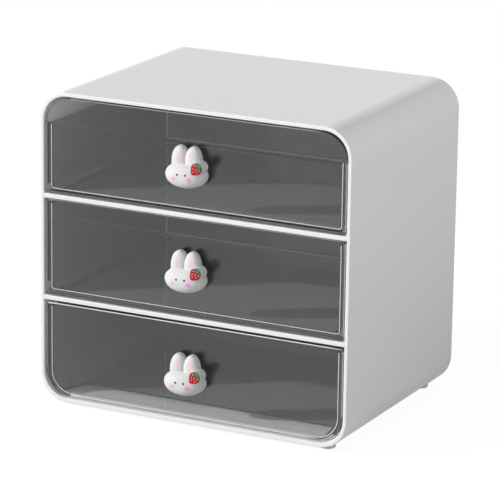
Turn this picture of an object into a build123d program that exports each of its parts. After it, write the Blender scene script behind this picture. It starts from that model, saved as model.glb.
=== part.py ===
from build123d import *
import os

# Desktop drawer organizer: a white case with two shelves and three see-through pull-out drawers.
# X runs across the front, the drawers open towards -Y, Z is up from the table.

# The case: a rounded sleeve, open at the front.
case_width = 240.0
case_height = 225.0
case_depth = 177.5
case_corner_radius = 21.0
case_wall = 2.8
case_floor = 3.4
case_rim_round = 0.6
overrun = 1.0

# The plate that closes the back of the sleeve.
back_thickness = 2.5
back_fit = 0.1

# The two shelves, with tongues along their sides that sit in grooves in the case walls.
shelf_thickness = 3.3
tongue_depth = 1.2
tongue_thickness = 1.6
tongue_setback = 10.0
tongue_fit = 0.1

# The four round feet, pegged into the case floor.
foot_diameter = 11.0
foot_height = 3.5
foot_round = 0.8
foot_side_inset = 20.0
foot_front_inset = 14.0
foot_back_inset = 9.0
foot_peg_diameter = 5.0
foot_peg_length = 2.2
foot_peg_fit = 0.1

# The clear front panels, set a little behind the case rim.
panel_recess = 0.8
panel_thickness = 3.2
panel_side_gap = 1.0
panel_foot_gap = 1.2
top_panel_gap = 1.5
middle_panel_gap = 0.8
bottom_panel_gap = 2.3
panel_corner_radius = 1.0
panel_corner_ease = 0.8
panel_edge_round = 0.4

# The smoky trays behind the panels.
tray_wall = 1.6
tray_side_gap = 4.1
tray_back_gap = 1.4
tray_corner_radius = 3.0
tray_floor_radius = 2.6
top_tray_lift = 1.9
middle_tray_lift = 3.6
bottom_tray_lift = 1.8
top_tray_headroom = 20.0
middle_tray_headroom = 3.2
bottom_tray_headroom = 4.2
bottom_tray_radius = 16.6
runner_width = 3.0
runner_inset = 5.0
runner_setback = 6.0
gate_diameter = 6.0
gate_depth = 0.4

# The clear floor lip at the foot of the bottom panel, let into the front of the bottom tray.
# It is wider in front than behind, and its ends climb the tray's round corners.
lip_depth = 24.6
lip_front_spread = 7.3
lip_back_spread = 2.0
lip_rise = 5.0
lip_fit = 0.15
lip_corner_radius = 5.0

# The animal-head knobs: a wide head, two ears and a round pad that carries the berry.
knob_across = -2.1
knob_drop = 2.0
head_width = 30.8
head_height = 18.0
head_end_diameter = 13.0
head_depth = 14.4
head_front_round = 6.0
head_back_round = 2.8
ear_width = 11.4
ear_height = 21.6
ear_thickness = 8.4
ear_standoff = 0.8
ear_round = 2.2
ear_spread = 5.3
ear_rise = 9.5
pad_setback = 0.6
pad_diameter = 9.0
pad_thickness = 10.4
pad_round = 0.6
pad_across = 11.6
pad_rise = 7.4

# The berry on the pad and its leaves.
berry_thickness = 0.8
berry_round = 0.3
berry_shoulder_diameter = 8.0
berry_shoulder_reach = 0.8
berry_tip_diameter = 4.0
berry_tip_reach = 2.8
berry_lean = 49.0
leaf_thickness = 0.3
leaf_length = 3.6
leaf_width = 2.0
leaf_fan = 58.0
leaf_reach = 4.0

# The screw that holds each knob from inside the drawer.
screw_diameter = 3.0
screw_head_diameter = 6.4
screw_head_height = 2.0
screw_head_round = 0.9
screw_grip = 8.0
screw_fit = 0.2

# Places worked out from the sizes above.
pad_front = head_depth - pad_setback
knob_proud = pad_front + berry_thickness + leaf_thickness - panel_recess
front_y = (knob_proud - case_depth) / 2
back_y = front_y + case_depth
case_bottom_z = foot_height
case_top_z = case_bottom_z + case_height
floor_z = case_bottom_z + case_floor
roof_z = case_top_z - case_wall
inner_width = case_width - 2 * case_wall
inner_radius = case_corner_radius - case_wall
bay_height = (roof_z - floor_z - 2 * shelf_thickness) / 3
lower_shelf_z = floor_z + bay_height
upper_shelf_z = lower_shelf_z + shelf_thickness + bay_height
middle_bay_z = lower_shelf_z + shelf_thickness
top_bay_z = upper_shelf_z + shelf_thickness
inner_back_y = back_y - back_thickness
panel_front_y = front_y + panel_recess
panel_back_y = panel_front_y + panel_thickness
panel_width = inner_width - 2 * panel_side_gap
top_panel_height = bay_height - panel_foot_gap - top_panel_gap
middle_panel_height = bay_height - panel_foot_gap - middle_panel_gap
bottom_panel_height = bay_height - panel_foot_gap - bottom_panel_gap
panel_big_radius = inner_radius + panel_corner_ease
tray_width = inner_width - 2 * tray_side_gap
tray_back_y = inner_back_y - tray_back_gap
tray_depth = tray_back_y - panel_back_y
tray_centre_y = (tray_back_y + panel_back_y) / 2
head_drop = knob_drop + (ear_rise + ear_height / 2 - head_height / 2) / 2
screw_length = panel_thickness + screw_grip

os.makedirs("parts", exist_ok=True)

# The case is drawn as seen from the front and drawn out over its whole depth.
with BuildPart() as outer_case:
    with BuildSketch(Plane.XZ.offset(-back_y)):
        with Locations((0, case_bottom_z + case_height / 2)):
            RectangleRounded(case_width, case_height, case_corner_radius)
        with Locations((0, (floor_z + roof_z) / 2)):
            RectangleRounded(inner_width, roof_z - floor_z, inner_radius, mode=Mode.SUBTRACT)
    extrude(amount=case_depth)
    # The rim at the front and the edge at the back are eased so that they feel smooth.
    fillet(outer_case.faces().sort_by(Axis.Y)[0].edges(), case_rim_round)
    fillet(outer_case.faces().sort_by(Axis.Y)[-1].outer_wire().edges(), case_rim_round)
    # Grooves for the shelf tongues, stopped behind the rim so that they don't show.
    with BuildSketch(Plane.XZ.offset(-inner_back_y)):
        with Locations(
            (0, lower_shelf_z + shelf_thickness / 2),
            (0, upper_shelf_z + shelf_thickness / 2),
        ):
            Rectangle(inner_width + 2 * tongue_depth, tongue_thickness)
    extrude(amount=inner_back_y - front_y - tongue_setback, mode=Mode.SUBTRACT)
    # Blind holes for the pegs of the feet.
    with BuildSketch(Plane.XY.offset(case_bottom_z)):
        with Locations(
            (foot_side_inset - case_width / 2, front_y + foot_front_inset),
            (case_width / 2 - foot_side_inset, front_y + foot_front_inset),
            (foot_side_inset - case_width / 2, back_y - foot_back_inset),
            (case_width / 2 - foot_side_inset, back_y - foot_back_inset),
        ):
            Circle(foot_peg_diameter / 2)
    extrude(amount=foot_peg_length, mode=Mode.SUBTRACT)

# The back plate fills the sleeve flush with its rear edge.
with BuildPart() as back_panel:
    with BuildSketch(Plane.XZ.offset(-back_y)):
        with Locations((0, (floor_z + roof_z) / 2)):
            RectangleRounded(
                inner_width - 2 * back_fit, roof_z - floor_z - 2 * back_fit, inner_radius - back_fit
            )
    extrude(amount=back_thickness)

# The shelves share one pattern: a plate flush with the case rim, and a tongue along each side.
with BuildPart() as lower_shelf:
    with BuildSketch(Plane.XZ.offset(-inner_back_y)):
        with Locations((0, lower_shelf_z + shelf_thickness / 2)):
            Rectangle(inner_width, shelf_thickness)
    extrude(amount=inner_back_y - front_y)
    fillet(lower_shelf.faces().sort_by(Axis.Y)[0].edges().filter_by(Axis.X), case_rim_round)
    with BuildSketch(Plane.XZ.offset(-inner_back_y)):
        with Locations((0, lower_shelf_z + shelf_thickness / 2)):
            Rectangle(inner_width + 2 * (tongue_depth - tongue_fit), tongue_thickness - 2 * tongue_fit)
    extrude(amount=inner_back_y - front_y - tongue_setback - tongue_fit)

with BuildPart() as upper_shelf:
    with BuildSketch(Plane.XZ.offset(-inner_back_y)):
        with Locations((0, upper_shelf_z + shelf_thickness / 2)):
            Rectangle(inner_width, shelf_thickness)
    extrude(amount=inner_back_y - front_y)
    fillet(upper_shelf.faces().sort_by(Axis.Y)[0].edges().filter_by(Axis.X), case_rim_round)
    with BuildSketch(Plane.XZ.offset(-inner_back_y)):
        with Locations((0, upper_shelf_z + shelf_thickness / 2)):
            Rectangle(inner_width + 2 * (tongue_depth - tongue_fit), tongue_thickness - 2 * tongue_fit)
    extrude(amount=inner_back_y - front_y - tongue_setback - tongue_fit)

# One foot at the front left: its seat is cut to the curve of the case, and a peg goes up into the floor.
with BuildPart() as foot:
    with BuildSketch():
        with Locations((foot_side_inset - case_width / 2, front_y + foot_front_inset)):
            Circle(foot_diameter / 2)
    extrude(amount=foot_height + case_floor)
    fillet(foot.faces().sort_by(Axis.Z)[0].edges(), foot_round)
    with BuildSketch(Plane.XZ.offset(-back_y)):
        with Locations((0, case_bottom_z + case_height / 2)):
            RectangleRounded(case_width, case_height, case_corner_radius)
    extrude(amount=case_depth, mode=Mode.SUBTRACT)
    with BuildSketch(Plane.XY.offset(case_bottom_z - foot_height / 2)):
        with Locations((foot_side_inset - case_width / 2, front_y + foot_front_inset)):
            Circle(foot_peg_diameter / 2 - foot_peg_fit)
    extrude(amount=foot_height / 2 + foot_peg_length - foot_peg_fit)

# The front panels: thin clear plates, with the big corner radius where they meet the case's round corners.
with BuildPart() as top_front_panel:
    with BuildSketch(Plane.XZ.offset(-panel_back_y)) as top_outline:
        with Locations((0, top_bay_z + panel_foot_gap + top_panel_height / 2)):
            Rectangle(panel_width, top_panel_height)
        fillet(top_outline.vertices().group_by(Axis.Y)[-1], panel_big_radius)
        fillet(top_outline.vertices().group_by(Axis.Y)[0], panel_corner_radius)
    extrude(amount=panel_thickness)
    fillet(top_front_panel.faces().sort_by(Axis.Y)[0].edges(), panel_edge_round)
    with BuildSketch(Plane.XZ.offset(-panel_back_y)):
        with Locations((knob_across, top_bay_z + bay_height / 2 - head_drop)):
            Circle(screw_diameter / 2 + screw_fit)
    extrude(amount=panel_thickness, mode=Mode.SUBTRACT)

with BuildPart() as middle_front_panel:
    with BuildSketch(Plane.XZ.offset(-panel_back_y)):
        with Locations((0, middle_bay_z + panel_foot_gap + middle_panel_height / 2)):
            RectangleRounded(panel_width, middle_panel_height, panel_corner_radius)
    extrude(amount=panel_thickness)
    fillet(middle_front_panel.faces().sort_by(Axis.Y)[0].edges(), panel_edge_round)
    with BuildSketch(Plane.XZ.offset(-panel_back_y)):
        with Locations((knob_across, middle_bay_z + bay_height / 2 - head_drop)):
            Circle(screw_diameter / 2 + screw_fit)
    extrude(amount=panel_thickness, mode=Mode.SUBTRACT)

# The trays: thin-walled, open at the top and closed at the front by their panels.
top_tray_z = top_bay_z + top_tray_lift
top_tray_height = roof_z - top_tray_headroom - top_tray_z
with BuildPart() as top_tray:
    with BuildSketch(Plane.XY.offset(top_tray_z)) as top_plan:
        with Locations((0, tray_centre_y)):
            Rectangle(tray_width, tray_depth)
        fillet(top_plan.vertices().group_by(Axis.Y)[-1], tray_corner_radius)
    extrude(amount=top_tray_height)
    top_base = top_tray.faces().sort_by(Axis.Z)[0].edges()
    fillet(top_base - top_base.group_by(Axis.Y)[0], tray_floor_radius)
    offset(
        amount=-tray_wall,
        openings=[top_tray.faces().sort_by(Axis.Z)[-1], top_tray.faces().sort_by(Axis.Y)[0]],
    )
    # Two runners slide on the shelf.
    with BuildSketch(Plane.XY.offset(top_tray_z)):
        with Locations(
            (runner_inset - tray_width / 2, tray_centre_y),
            (tray_width / 2 - runner_inset, tray_centre_y),
        ):
            Rectangle(runner_width, tray_depth - 2 * runner_setback)
    extrude(amount=-top_tray_lift)
    # The moulding gate leaves a shallow round dimple in the middle of the floor.
    with BuildSketch(Plane.XY.offset(top_tray_z + tray_wall)):
        with Locations((0, tray_centre_y)):
            Circle(gate_diameter / 2)
    extrude(amount=-gate_depth, mode=Mode.SUBTRACT)

middle_tray_z = middle_bay_z + middle_tray_lift
middle_tray_height = upper_shelf_z - middle_tray_headroom - middle_tray_z
with BuildPart() as middle_tray:
    with BuildSketch(Plane.XY.offset(middle_tray_z)) as middle_plan:
        with Locations((0, tray_centre_y)):
            Rectangle(tray_width, tray_depth)
        fillet(middle_plan.vertices().group_by(Axis.Y)[-1], tray_corner_radius)
    extrude(amount=middle_tray_height)
    middle_base = middle_tray.faces().sort_by(Axis.Z)[0].edges()
    fillet(middle_base - middle_base.group_by(Axis.Y)[0], tray_floor_radius)
    offset(
        amount=-tray_wall,
        openings=[middle_tray.faces().sort_by(Axis.Z)[-1], middle_tray.faces().sort_by(Axis.Y)[0]],
    )
    with BuildSketch(Plane.XY.offset(middle_tray_z)):
        with Locations(
            (runner_inset - tray_width / 2, tray_centre_y),
            (tray_width / 2 - runner_inset, tray_centre_y),
        ):
            Rectangle(runner_width, tray_depth - 2 * runner_setback)
    extrude(amount=-middle_tray_lift)
    with BuildSketch(Plane.XY.offset(middle_tray_z + tray_wall)):
        with Locations((0, tray_centre_y)):
            Circle(gate_diameter / 2)
    extrude(amount=-gate_depth, mode=Mode.SUBTRACT)

# The bottom tray follows the case's round corners, so its section is a deep U.
bottom_tray_z = floor_z + bottom_tray_lift
bottom_tray_height = lower_shelf_z - bottom_tray_headroom - bottom_tray_z
bottom_flat = tray_width - 2 * bottom_tray_radius
with BuildPart() as bottom_cavity:
    with BuildSketch(Plane.XY.offset(bottom_tray_z + tray_wall)) as cavity_plan:
        with Locations((0, tray_centre_y - (tray_wall + overrun) / 2)):
            Rectangle(tray_width - 2 * tray_wall, tray_depth - tray_wall + overrun)
    extrude(amount=bottom_tray_height - tray_wall + overrun)
    cavity_base = bottom_cavity.faces().sort_by(Axis.Z)[0].edges()
    fillet(cavity_base - cavity_base.group_by(Axis.Y)[0], bottom_tray_radius - tray_wall)
    cavity_rear = bottom_cavity.edges().filter_by(Axis.Z).group_by(Axis.Y)[-1]
    fillet(cavity_rear, tray_corner_radius - tray_wall)

with BuildPart() as bottom_shell:
    with BuildSketch(Plane.XY.offset(bottom_tray_z)):
        with Locations((0, tray_centre_y)):
            Rectangle(tray_width, tray_depth)
    extrude(amount=bottom_tray_height)
    bottom_base = bottom_shell.faces().sort_by(Axis.Z)[0].edges()
    fillet(bottom_base - bottom_base.group_by(Axis.Y)[0], bottom_tray_radius)
    bottom_rear = bottom_shell.edges().filter_by(Axis.Z).group_by(Axis.Y)[-1]
    fillet(bottom_rear, tray_corner_radius)
    add(bottom_cavity.part, mode=Mode.SUBTRACT)

# The front strip of the tray's floor, seen from above: it is left out of the tray and made clear.
with BuildSketch(Plane.XY.offset(bottom_tray_z - overrun)) as strip_plan:
    with BuildLine():
        Polyline(
            (-bottom_flat / 2 - lip_front_spread, panel_back_y - overrun),
            (-bottom_flat / 2 - lip_front_spread, panel_back_y),
            (-bottom_flat / 2 - lip_back_spread, panel_back_y + lip_depth),
            (bottom_flat / 2 + lip_back_spread, panel_back_y + lip_depth),
            (bottom_flat / 2 + lip_front_spread, panel_back_y),
            (bottom_flat / 2 + lip_front_spread, panel_back_y - overrun),
            close=True,
        )
    make_face()
    fillet(strip_plan.vertices().group_by(Axis.Y)[-1], lip_corner_radius)

with BuildPart() as bottom_tray:
    add(bottom_shell.part)
    with BuildSketch(Plane.XY.offset(bottom_tray_z)):
        with Locations(
            (-(bottom_flat - runner_width) / 2, tray_centre_y + lip_depth / 2),
            ((bottom_flat - runner_width) / 2, tray_centre_y + lip_depth / 2),
        ):
            Rectangle(runner_width, tray_depth - lip_depth - 2 * bottom_tray_radius)
    extrude(amount=-bottom_tray_lift)
    with BuildSketch(Plane.XY.offset(bottom_tray_z + tray_wall)):
        with Locations((0, tray_centre_y)):
            Circle(gate_diameter / 2)
    extrude(amount=-gate_depth, mode=Mode.SUBTRACT)
    extrude(strip_plan.sketch, amount=lip_rise + overrun, mode=Mode.SUBTRACT)

# The bottom panel also carries the clear lip that makes the front strip of its drawer's floor.
with BuildPart() as clear_lip:
    add(bottom_shell.part)
    with BuildSketch(Plane.XY.offset(bottom_tray_z - overrun)):
        offset(strip_plan.sketch, amount=-lip_fit)
    extrude(amount=lip_rise + overrun, mode=Mode.INTERSECT)

with BuildPart() as bottom_front_panel:
    with BuildSketch(Plane.XZ.offset(-panel_back_y)) as bottom_outline:
        with Locations((0, floor_z + panel_foot_gap + bottom_panel_height / 2)):
            Rectangle(panel_width, bottom_panel_height)
        fillet(bottom_outline.vertices().group_by(Axis.Y)[0], panel_big_radius)
        fillet(bottom_outline.vertices().group_by(Axis.Y)[-1], panel_corner_radius)
    extrude(amount=panel_thickness)
    fillet(bottom_front_panel.faces().sort_by(Axis.Y)[0].edges(), panel_edge_round)
    with BuildSketch(Plane.XZ.offset(-panel_back_y)):
        with Locations((knob_across, floor_z + bay_height / 2 - head_drop)):
            Circle(screw_diameter / 2 + screw_fit)
    extrude(amount=panel_thickness, mode=Mode.SUBTRACT)
    add(clear_lip.part)

# One knob, with its back on the plane Y = 0 and the middle of its head on the Y axis.
# The head is rounded in front and behind, so it meets the panel with a smaller flat.
with BuildPart() as head:
    with BuildSketch(Plane.XZ):
        Circle(head_height / 2)
        with GridLocations(head_width - head_end_diameter, 0, 2, 1):
            Circle(head_end_diameter / 2)
        make_hull()
    extrude(amount=head_depth)
    fillet(head.faces().sort_by(Axis.Y)[0].edges(), head_front_round)
    fillet(head.faces().sort_by(Axis.Y)[-1].edges(), head_back_round)

# The ears stand a little off the panel.
with BuildPart() as ears:
    with BuildSketch(Plane.XZ.offset(ear_standoff)):
        with Locations((-ear_spread, ear_rise)):
            Ellipse(ear_width / 2, ear_height / 2)
    extrude(amount=ear_thickness)
    fillet(ears.faces().filter_by(Axis.Y).edges(), ear_round)
    mirror(about=Plane.YZ)

# The pad is a short post beside the head's upper corner, with its front a little behind the face.
with BuildPart() as pad:
    with BuildSketch(Plane.XZ.offset(pad_front - pad_thickness)):
        with Locations((pad_across, pad_rise)):
            Circle(pad_diameter / 2)
    extrude(amount=pad_thickness)
    fillet(pad.faces().filter_by(Axis.Y).edges(), pad_round)

with BuildPart() as knob:
    add(head.part)
    add(ears.part)
    add(pad.part)
    # The blind bore that the screw cuts its thread in.
    with BuildSketch(Plane.XZ):
        Circle(screw_diameter / 2)
    extrude(amount=screw_grip + screw_fit, mode=Mode.SUBTRACT)

# The berry: a broad shoulder and a blunt tip, lying on the flat front of the pad.
berry_axis = Vector(1, 0, 0).rotate(Axis.Y, -berry_lean)
berry_plane = Plane(origin=(pad_across, -pad_front, pad_rise), x_dir=berry_axis, z_dir=(0, -1, 0))
with BuildPart() as berry:
    with BuildSketch(berry_plane):
        with Locations((berry_shoulder_reach, 0)):
            Circle(berry_shoulder_diameter / 2)
        with Locations((-berry_tip_reach, 0)):
            Circle(berry_tip_diameter / 2)
        make_hull()
    extrude(amount=berry_thickness)
    fillet(berry.faces().sort_by(Axis.Y)[0].edges(), berry_round)

# Three leaves fan out from the stalk end over the berry's shoulder.
with BuildPart() as leaves:
    with BuildSketch(berry_plane.offset(berry_thickness)):
        with Locations(
            Location((leaf_reach, 0), -leaf_fan),
            Location((leaf_reach, 0), 0),
            Location((leaf_reach, 0), leaf_fan),
        ):
            with Locations((-leaf_length / 2, 0)):
                Ellipse(leaf_length / 2, leaf_width / 2)
    extrude(amount=leaf_thickness)

# The screw: a domed head inside the drawer and a shank through the panel into the knob.
with BuildPart() as screw:
    with BuildSketch(Plane.XZ):
        Circle(screw_head_diameter / 2)
    extrude(amount=-screw_head_height)
    fillet(screw.faces().sort_by(Axis.Y)[-1].edges(), screw_head_round)
    with BuildSketch(Plane.XZ):
        Circle(screw_diameter / 2)
    extrude(amount=screw_length)

# The fixed pieces.
outer_case.part.label = "outer_case"
export_step(outer_case.part, "parts/outer_case.step")
back_panel.part.label = "back_panel"
export_step(back_panel.part, "parts/back_panel.step")
lower_shelf.part.label = "lower_shelf"
export_step(lower_shelf.part, "parts/lower_shelf.step")
upper_shelf.part.label = "upper_shelf"
export_step(upper_shelf.part, "parts/upper_shelf.step")

# The feet: the right-hand ones mirror the left, and the back ones stand further along the case.
foot_stride = case_depth - foot_front_inset - foot_back_inset
foot_mirror = foot.part.mirror(Plane.YZ)
for side, pattern in (("left", foot.part), ("right", foot_mirror)):
    for end, shift in (("front", 0), ("back", foot_stride)):
        standing = pattern.moved(Location((0, shift, 0)))
        standing.label = f"foot_{end}_{side}"
        export_step(standing, f"parts/foot_{end}_{side}.step")

# The drawers' trays and panels.
top_tray.part.label = "top_tray"
export_step(top_tray.part, "parts/top_tray.step")
top_front_panel.part.label = "top_front_panel"
export_step(top_front_panel.part, "parts/top_front_panel.step")
middle_tray.part.label = "middle_tray"
export_step(middle_tray.part, "parts/middle_tray.step")
middle_front_panel.part.label = "middle_front_panel"
export_step(middle_front_panel.part, "parts/middle_front_panel.step")
bottom_tray.part.label = "bottom_tray"
export_step(bottom_tray.part, "parts/bottom_tray.step")
bottom_front_panel.part.label = "bottom_front_panel"
export_step(bottom_front_panel.part, "parts/bottom_front_panel.step")

# Each panel gets the same knob, berry, leaves and screw, a little below and left of its middle.
for drawer, bay_z in (("top", top_bay_z), ("middle", middle_bay_z), ("bottom", floor_z)):
    head_z = bay_z + bay_height / 2 - head_drop
    for piece, pattern, seat_y in (
        ("knob", knob.part, panel_front_y),
        ("berry", berry.part, panel_front_y),
        ("berry_leaves", leaves.part, panel_front_y),
        ("knob_screw", screw.part, panel_back_y),
    ):
        fitted = pattern.moved(Location((knob_across, seat_y, head_z)))
        fitted.label = f"{drawer}_{piece}"
        export_step(fitted, f"parts/{drawer}_{piece}.step")
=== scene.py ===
# %% [markdown]
# # A desk organizer with three see-through drawers
# The object is a white moulded case with three smoky drawers behind clear front panels, each with
# a small animal-head knob. The flat and rounded plastic parts come from the CAD frame as they are.
# This lesson gives them their finishes, and adds what is easier to write as surfaces: the soft
# little shapes of the knob and its berry, and the thin lines along edges and joints, most of which are
# painted highlights or painted shade.

# %% Load the frame
import math
import bpy
import numpy as np
from mathutils import Matrix, Vector


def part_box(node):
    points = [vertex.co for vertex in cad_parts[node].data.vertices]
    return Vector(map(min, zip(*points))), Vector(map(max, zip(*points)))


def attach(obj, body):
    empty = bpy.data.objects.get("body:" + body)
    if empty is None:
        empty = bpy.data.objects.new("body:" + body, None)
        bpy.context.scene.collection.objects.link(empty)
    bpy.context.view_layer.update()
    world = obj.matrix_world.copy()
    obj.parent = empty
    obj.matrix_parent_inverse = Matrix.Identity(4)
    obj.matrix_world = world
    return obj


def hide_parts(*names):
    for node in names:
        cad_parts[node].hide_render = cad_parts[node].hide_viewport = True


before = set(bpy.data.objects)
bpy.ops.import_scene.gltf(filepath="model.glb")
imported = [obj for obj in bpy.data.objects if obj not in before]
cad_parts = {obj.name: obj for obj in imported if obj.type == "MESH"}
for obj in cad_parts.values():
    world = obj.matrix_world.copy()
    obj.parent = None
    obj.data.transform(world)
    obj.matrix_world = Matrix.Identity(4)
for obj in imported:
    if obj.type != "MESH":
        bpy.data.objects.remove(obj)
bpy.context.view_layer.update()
MM = 0.001
DRAWERS = ("top", "middle", "bottom")

# %% [markdown]
# ## The camera
# The product was seen from the front right, a little from above, through a long lens, so that its
# edges stay nearly parallel. A camera could be turned with Euler angles, but yaw, pitch and a small
# roll are easier to read: they give three axes, and the axes are the columns of the camera's matrix.

# %% Place the camera
YAW, PITCH, ROLL = (math.radians(angle) for angle in (26.907, 15.514, 0.799))
TARGET_ACROSS, TARGET_RISE, EYE_DISTANCE = 45.04 * MM, 132.43 * MM, 2206.44 * MM
SENSOR_WIDTH = 36.0
FOCAL_PIXELS, PICTURE_PIXELS = 3249.52, 500

away = np.array([math.sin(YAW) * math.cos(PITCH), -math.cos(YAW) * math.cos(PITCH), math.sin(PITCH)])
level = np.array([math.cos(YAW), math.sin(YAW), 0.0])
upright = np.cross(away, level)
right = level * math.cos(ROLL) + upright * math.sin(ROLL)
up = upright * math.cos(ROLL) - level * math.sin(ROLL)
case_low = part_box("outer_case")[0]
target = np.array([TARGET_ACROSS, case_low.y, case_low.z + TARGET_RISE])
eye = target + away * EYE_DISTANCE

camera_data = bpy.data.cameras.new("camera")
camera_data.sensor_width = SENSOR_WIDTH
camera_data.lens = SENSOR_WIDTH * FOCAL_PIXELS / PICTURE_PIXELS
camera = bpy.data.objects.new("camera", camera_data)
bpy.context.scene.collection.objects.link(camera)
axes = np.stack([right, up, away], 1)
camera.matrix_world = Matrix([[*row, place] for row, place in zip(axes, eye)] + [[0, 0, 0, 1]])
bpy.context.scene.camera = camera
print("camera: lens", round(camera_data.lens, 1), "mm at", [round(v, 3) for v in eye])

# %% [markdown]
# ## Helpers for node graphs
# Finishes, floor and background are all small graphs of nodes. They could be drawn by hand in the
# editor, but a script can be read and run again. Three helpers keep it short: a neutral colour, a
# node with its sockets filled, and a sum.

# %% Write the node helpers
def grey(value):
    """A neutral colour of that value, with full alpha."""
    return (value, value, value, 1.0)


def node(tree, kind, inputs=None, **settings):
    """Adds a node, sets its properties, and fills its sockets from values or from other sockets."""
    made = tree.nodes.new(kind)
    for key, value in settings.items():
        setattr(made, key, value)
    for key, value in (inputs or {}).items():
        if isinstance(value, bpy.types.NodeSocket):
            tree.links.new(value, made.inputs[key])
        else:
            made.inputs[key].default_value = value
    return made


def math_node(tree, operation, *values):
    """One Math node on the given values or sockets; returns its result."""
    return node(tree, "ShaderNodeMath", dict(enumerate(values)), operation=operation).outputs[0]


print("helpers:", grey.__name__, node.__name__, math_node.__name__)

# %% [markdown]
# ## Light and background
# A studio has one hard lamp from the front left, which draws the crisp shadows inside the drawers,
# and white walls all round, which fill the rest. The walls are the world: what the camera, mirrors
# and clear plastic see of them is plain white, and what lights the object is softer. That fill is a
# slope over the direction, a little stronger from the right, from the front and from below.

# %% Light the studio
FILL_MEAN, FILL_SLOPES = 0.58, {"X": 0.28, "Y": -0.08, "Z": -0.20}
KEY_STRENGTH, KEY_SPREAD = 2.95, math.radians(1.2)
KEY_FROM = Vector((-0.78, -0.625, math.tan(math.radians(21.0))))


def seen_share(tree):
    """1 for a ray that shows the background: from the camera, a mirror or through clear plastic."""
    path = node(tree, "ShaderNodeLightPath")
    mirror = math_node(tree, "MAXIMUM", path.outputs["Is Glossy Ray"], path.outputs["Is Transmission Ray"])
    return math_node(tree, "MAXIMUM", path.outputs["Is Camera Ray"], mirror)


world = bpy.data.worlds.new("studio")
bpy.context.scene.world = world
world.use_nodes = True
tree = world.node_tree
tree.nodes.clear()
around = node(tree, "ShaderNodeSeparateXYZ", {0: node(tree, "ShaderNodeTexCoord").outputs["Generated"]})
fill = FILL_MEAN
for axis, slope in FILL_SLOPES.items():
    fill = math_node(tree, "MULTIPLY_ADD", around.outputs[axis], slope, fill)
soft = node(tree, "ShaderNodeBackground", {"Color": grey(1.0), "Strength": fill})
white = node(tree, "ShaderNodeBackground", {"Color": grey(1.0), "Strength": 1.0})
both = node(tree, "ShaderNodeMixShader", {0: seen_share(tree), 1: soft.outputs[0], 2: white.outputs[0]})
node(tree, "ShaderNodeOutputWorld", {0: both.outputs[0]})

key_data = bpy.data.lights.new("key_lamp", "SUN")
key_data.energy = KEY_STRENGTH
key_data.angle = KEY_SPREAD
key = bpy.data.objects.new("key_lamp", key_data)
bpy.context.scene.collection.objects.link(key)
key.rotation_euler = KEY_FROM.to_track_quat("Z", "Y").to_euler()
bpy.context.scene.view_settings.view_transform = "Standard"
print("light: one sun lamp of", key_data.energy, "and a white world")

# %% [markdown]
# ## The floor
# The floor is one large pale sheet. For the camera it glows almost white, and a thin layer of real
# shading on top keeps the soft shadow under the feet. For every other ray it is plain pale paint,
# paler in front than behind, so it sends the right amount of light back up.

# %% Lay the floor
FLOOR_HALF, FLOOR_LINES = 0.5, 3
SEEN_SHADE, SEEN_GLOW = 0.10, 0.94
# The paint's paleness changes between two depths: each is (depth in metres, paleness).
PAINT_FRONT, PAINT_BACK = (-0.12, 0.54), (0.20, 0.12)


def sheet_mesh(name, points):
    """A mesh from a grid of points, rows by columns: each cell of the grid is one quad."""
    rows, cols = points.shape[:2]
    number = np.arange(rows * cols).reshape(rows, cols)
    quads = np.stack([number[:-1, :-1], number[:-1, 1:], number[1:, 1:], number[1:, :-1]], -1)
    mesh = bpy.data.meshes.new(name)
    mesh.from_pydata(points.reshape(-1, 3).tolist(), [], quads.reshape(-1, 4).tolist())
    return mesh


def place_in_scene(name, mesh, material):
    """Links an object that shows the mesh at the origin, with its material."""
    made = bpy.data.objects.new(name, mesh)
    mesh.materials.append(material)
    bpy.context.scene.collection.objects.link(made)
    return made


def new_material(name):
    """An empty node material and its tree."""
    material = bpy.data.materials.new(name)
    material.use_nodes = True
    material.node_tree.nodes.clear()
    return material, material.node_tree


floor_paint, tree = new_material("floor_paint")
floor_place = node(tree, "ShaderNodeSeparateXYZ", {0: node(tree, "ShaderNodeTexCoord").outputs["Object"]})
falling = node(tree, "ShaderNodeMapRange", {
    "Value": floor_place.outputs["Y"], "From Min": PAINT_FRONT[0], "From Max": PAINT_BACK[0],
    "To Min": PAINT_FRONT[1], "To Max": PAINT_BACK[1]})
plain = node(tree, "ShaderNodeBsdfDiffuse", {"Color": falling.outputs[0]})
thin = node(tree, "ShaderNodeBsdfDiffuse", {"Color": grey(SEEN_SHADE)})
glow = node(tree, "ShaderNodeEmission", {"Color": grey(1.0), "Strength": SEEN_GLOW})
seen = node(tree, "ShaderNodeAddShader", {0: thin.outputs[0], 1: glow.outputs[0]})
both = node(tree, "ShaderNodeMixShader", {0: seen_share(tree), 1: plain.outputs[0], 2: seen.outputs[0]})
node(tree, "ShaderNodeOutputMaterial", {0: both.outputs[0]})

lines = np.linspace(-FLOOR_HALF, FLOOR_HALF, FLOOR_LINES)
across, along = np.meshgrid(lines, lines)
floor_points = np.stack([across, along, 0 * across], -1)
floor = place_in_scene("floor", sheet_mesh("floor", floor_points), floor_paint)
print("floor: one sheet of", len(floor.data.polygons), "cells")

# %% [markdown]
# ## Moulded white plastic
# The case, back and shelves are injection-moulded in a matte white. Up close such a skin isn't
# even: it has a fine grain from the mould, and slow changes in gloss where the plastic cooled. Both
# come from noise, in a node group, so the feet and the knobs can use the same grain at another scale.

# %% Mix the moulded skin
TONE_LOW, TONE_SWING, NOISE_MEAN = 0.985, 0.03, 0.5


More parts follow.
